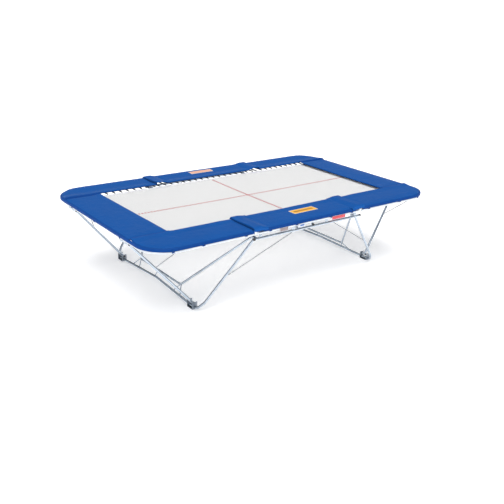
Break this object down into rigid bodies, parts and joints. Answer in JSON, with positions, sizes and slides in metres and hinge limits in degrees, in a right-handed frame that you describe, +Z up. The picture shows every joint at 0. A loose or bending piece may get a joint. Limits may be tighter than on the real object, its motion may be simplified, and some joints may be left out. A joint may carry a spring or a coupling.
{
  "type": "trampoline",
  "caption": "Folding competition trampoline: woven bed on springs, padded hinged frame, and tubular folding legs braced by struts and chains.",
  "frame": {"origin": "on the floor under the centre of the bed", "axes": "+X along the length, towards the right end section; +Y across the width, towards the far side; +Z up"},
  "size_m": [5.2, 3.05, 1.183],
  "materials": {
    "zinc_plated_steel": "zinc-plated tube, semi-bright",
    "bright_steel": "bright zinc-plated chain and pins",
    "spring_steel": "coil spring steel",
    "blue_vinyl": "woven-backed vinyl cover, satin",
    "white_webbing": "woven webbing, matt",
    "black_plastic": "moulded, matt",
    "grey_plate": "printed plate, blank",
    "white_plate": "printed plate, blank",
    "red_plate": "printed plate, blank"
  },
  "bodies": {
    "centre_section": {"bed_middle": "white_webbing", "chain_long_left_far": "bright_steel", "chain_long_left_near": "bright_steel", "chain_long_right_far": "bright_steel", "chain_long_right_near": "bright_steel", "hinge_pin_left_far": "bright_steel", "hinge_pin_left_near": "bright_steel", "hinge_pin_right_far": "bright_steel", "hinge_pin_right_near": "bright_steel", "label_plate_grey": "grey_plate", "label_plate_red": "red_plate", "label_plate_white": "white_plate", "lock_knob": "black_plastic", "lower_rail_cap_left_far": "black_plastic", "lower_rail_cap_left_near": "black_plastic", "lower_rail_cap_right_far": "black_plastic", "lower_rail_cap_right_near": "black_plastic", "lower_rail_far": "zinc_plated_steel", "lower_rail_near": "zinc_plated_steel", "main_rail_far": "zinc_plated_steel", "main_rail_near": "zinc_plated_steel", "pad_middle_far": "blue_vinyl", "pad_middle_near": "blue_vinyl", "spring_row_middle_far": "spring_steel", "spring_row_middle_near": "spring_steel"},
    "left_end": {"bed_left": "white_webbing", "chain_short_left_far": "bright_steel", "chain_short_left_near": "bright_steel", "end_frame_left": "zinc_plated_steel", "pad_corner_left_far": "blue_vinyl", "pad_corner_left_near": "blue_vinyl", "pad_end_left": "blue_vinyl", "spring_row_left_end": "spring_steel", "spring_row_left_far": "spring_steel", "spring_row_left_near": "spring_steel"},
    "left_leg": {"foot_bracket_left_far": "zinc_plated_steel", "foot_bracket_left_near": "zinc_plated_steel", "leg_inner_frame_left": "zinc_plated_steel", "leg_outer_frame_left": "zinc_plated_steel"},
    "left_near_strut": {"strut_left_near": "zinc_plated_steel"},
    "left_far_strut": {"strut_left_far": "zinc_plated_steel"},
    "right_end": {"bed_right": "white_webbing", "chain_short_right_far": "bright_steel", "chain_short_right_near": "bright_steel", "end_frame_right": "zinc_plated_steel", "pad_corner_right_far": "blue_vinyl", "pad_corner_right_near": "blue_vinyl", "pad_end_right": "blue_vinyl", "spring_row_right_end": "spring_steel", "spring_row_right_far": "spring_steel", "spring_row_right_near": "spring_steel"},
    "right_leg": {"foot_bracket_right_far": "zinc_plated_steel", "foot_bracket_right_near": "zinc_plated_steel", "leg_inner_frame_right": "zinc_plated_steel", "leg_outer_frame_right": "zinc_plated_steel"},
    "right_near_strut": {"strut_right_near": "zinc_plated_steel"},
    "right_far_strut": {"strut_right_far": "zinc_plated_steel"}
  },
  "joints": [
    {"name": "left_fold", "type": "hinge", "parent": "centre_section", "child": "left_end", "pos_m": [-1, 0, 1.17], "axis": [0, 1, 0], "range_deg": [0, 176]},
    {"name": "left_leg_fold", "type": "hinge", "parent": "centre_section", "child": "left_leg", "pos_m": [-0.95, 0, 1], "axis": [0, -1, 0], "range_deg": [0, 126], "deforming": ["chain_long_left_near", "chain_long_left_far"]},
    {"name": "left_near_strut_swing", "type": "hinge", "parent": "left_end", "child": "left_near_strut", "pos_m": [-2.53, -0.82, 1.035], "axis": [0, -1, 0], "range_deg": [0, 47], "deforming": ["chain_short_left_near"]},
    {"name": "left_far_strut_swing", "type": "hinge", "parent": "left_end", "child": "left_far_strut", "pos_m": [-2.53, 0.82, 1.035], "axis": [0, -1, 0], "range_deg": [0, 47], "deforming": ["chain_short_left_far"]},
    {"name": "right_fold", "type": "hinge", "parent": "centre_section", "child": "right_end", "pos_m": [1, 0, 1.17], "axis": [0, -1, 0], "range_deg": [0, 150]},
    {"name": "right_leg_fold", "type": "hinge", "parent": "centre_section", "child": "right_leg", "pos_m": [0.95, 0, 1], "axis": [0, 1, 0], "range_deg": [0, 112], "deforming": ["chain_long_right_near", "chain_long_right_far"]},
    {"name": "right_near_strut_swing", "type": "hinge", "parent": "right_end", "child": "right_near_strut", "pos_m": [2.53, -0.82, 1.035], "axis": [0, 1, 0], "range_deg": [0, 47], "deforming": ["chain_short_right_near"]},
    {"name": "right_far_strut_swing", "type": "hinge", "parent": "right_end", "child": "right_far_strut", "pos_m": [2.53, 0.82, 1.035], "axis": [0, 1, 0], "range_deg": [0, 47], "deforming": ["chain_short_right_far"]}
  ]
}
